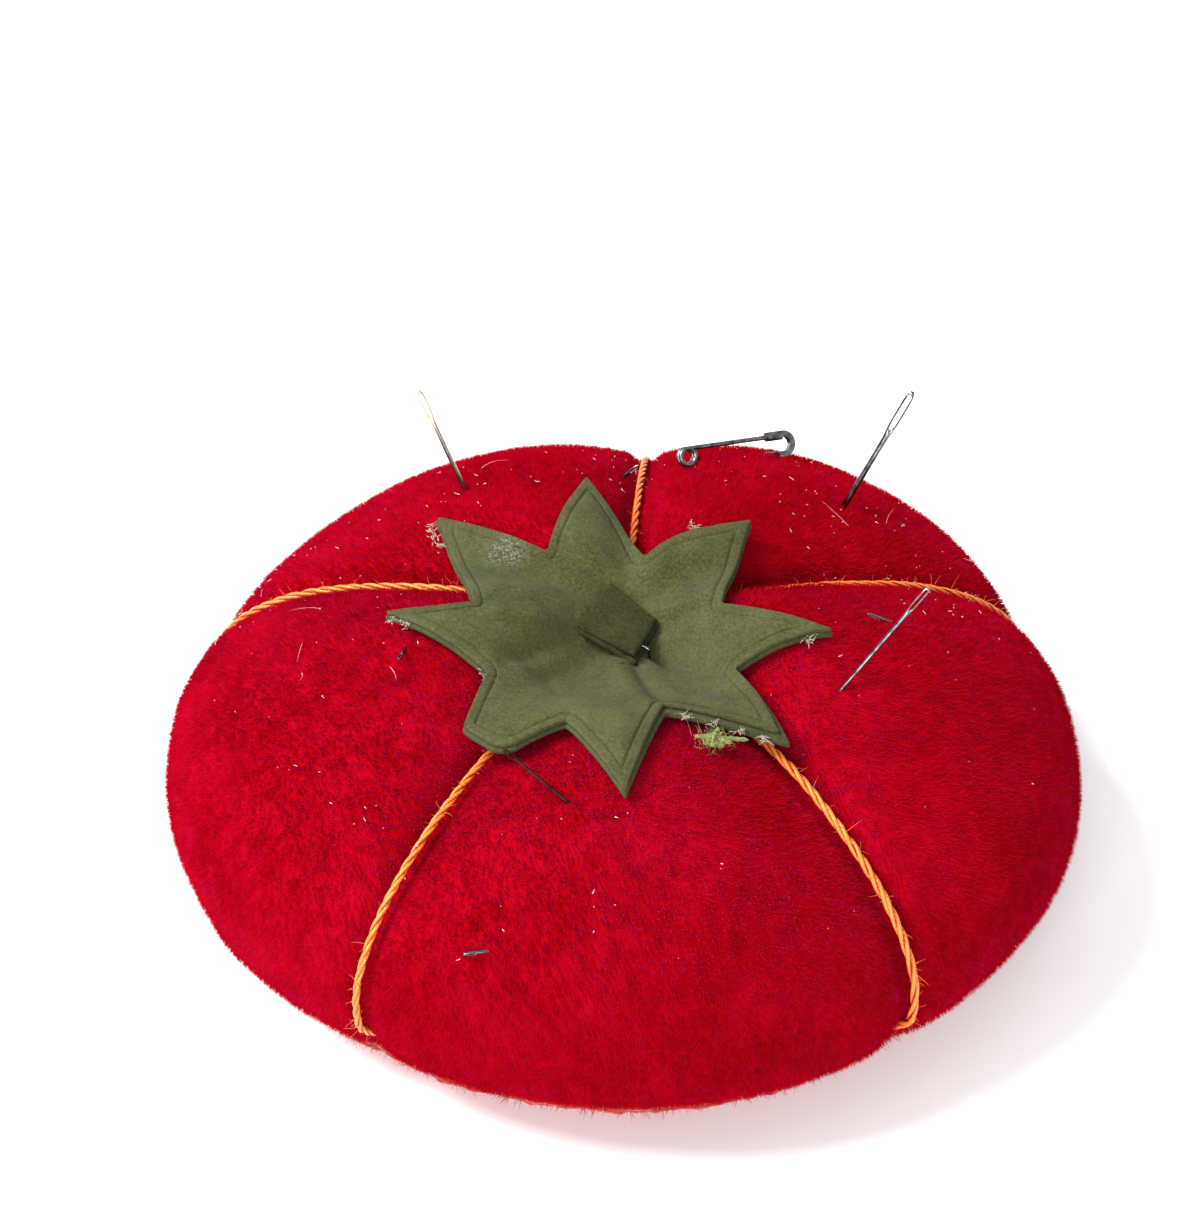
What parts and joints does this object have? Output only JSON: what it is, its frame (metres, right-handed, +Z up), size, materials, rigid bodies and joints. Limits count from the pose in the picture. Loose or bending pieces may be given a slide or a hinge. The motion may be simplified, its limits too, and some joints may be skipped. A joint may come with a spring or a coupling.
{
  "type": "pin cushion",
  "caption": "Round five-lobed velvet pin cushion with cords in its grooves, a cloth leaf star on top, and sewing needles and a small safety pin stuck in it.",
  "frame": {"origin": "centre of the flat rest face of the underside cloth", "axes": "+Z up through the tied middle, -Y towards the front between the two front grooves"},
  "size_m": [0.1287, 0.1267, 0.0606],
  "materials": {
    "red_velvet": "cotton velvet pile, pinkish sheen",
    "red_cloth": "plain woven cloth",
    "frayed_edge": "raw cut edges of cloth and velvet",
    "stuffing": "packed fibre",
    "tie_thread": "waxed thread",
    "orange_cord": "three-ply rayon cord",
    "leaf_velour": "olive velour",
    "leaf_backing": "olive backing cloth with dried glue",
    "green_yarn": "lime and cream yarn",
    "bright_steel": "polished nickel-plated steel",
    "gilt_steel": "polished steel, gold-coloured eye",
    "pin_steel": "tarnished nickel-plated steel"
  },
  "bodies": {
    "cushion": {"velvet_cover": "red_velvet", "underside_cloth": "red_cloth", "base_seam": "frayed_edge", "stuffing": "stuffing", "centre_tie": "tie_thread", "top_knot": "tie_thread", "bottom_knot": "tie_thread", "leaf_backing": "leaf_backing", "leaf_top": "leaf_velour", "stem_patch_lower": "leaf_velour", "stem_patch_upper": "leaf_velour", "patch_staple": "bright_steel", "green_yarn": "green_yarn", "safety_pin_arm": "pin_steel", "lobe_cord_right_back": "orange_cord", "lobe_cord_back": "orange_cord", "lobe_cord_left_back": "orange_cord", "lobe_cord_front_left": "orange_cord", "lobe_cord_front_right": "orange_cord"},
    "gold_eye_needle": {"gold_eye_needle": "gilt_steel"},
    "tapestry_needle": {"tapestry_needle": "bright_steel"},
    "crewel_needle": {"crewel_needle": "bright_steel"},
    "sharps_needle": {"sharps_needle": "bright_steel"},
    "right_buried_needle": {"right_buried_needle": "bright_steel"},
    "front_buried_needle": {"front_buried_needle": "bright_steel"},
    "left_buried_needle": {"left_buried_needle": "bright_steel"},
    "back_buried_needle": {"back_buried_needle": "bright_steel"},
    "safety_pin_top": {"safety_pin_spine": "pin_steel", "safety_pin_clasp": "pin_steel"}
  },
  "joints": [
    {"name": "gold_eye_pull", "type": "slide", "parent": "cushion", "child": "gold_eye_needle", "axis": [-0.383, 0.1786, 0.9063], "range_m": [0, 0.0252]},
    {"name": "tapestry_pull", "type": "slide", "parent": "cushion", "child": "tapestry_needle", "axis": [0.4526, 0.1737, 0.8746], "range_m": [0, 0.0228]},
    {"name": "crewel_pull", "type": "slide", "parent": "cushion", "child": "crewel_needle", "axis": [0.604, 0.2198, 0.766], "range_m": [0, 0.021]},
    {"name": "sharps_pull", "type": "slide", "parent": "cushion", "child": "sharps_needle", "axis": [-0.7769, 0.3623, 0.515], "range_m": [0, 0.0245]},
    {"name": "right_buried_pull", "type": "slide", "parent": "cushion", "child": "right_buried_needle", "axis": [-0.8695, -0.1533, 0.4695], "range_m": [0, 0.0228]},
    {"name": "front_buried_pull", "type": "slide", "parent": "cushion", "child": "front_buried_needle", "axis": [-0.9403, -0.3238, 0.1045], "range_m": [0, 0.0273]},
    {"name": "left_buried_pull", "type": "slide", "parent": "cushion", "child": "left_buried_needle", "axis": [-0.1338, -0.9519, 0.2756], "range_m": [0, 0.019]},
    {"name": "back_buried_pull", "type": "slide", "parent": "cushion", "child": "back_buried_needle", "axis": [0.7403, 0.0648, 0.6691], "range_m": [0, 0.0297]},
    {"name": "safety_pin_open", "type": "hinge", "parent": "cushion", "child": "safety_pin_top", "pos_m": [0.00909, 0.03439, 0.04532], "axis": [0.448, -0.7132, 0.5391], "range_deg": [0, 35]}
  ]
}
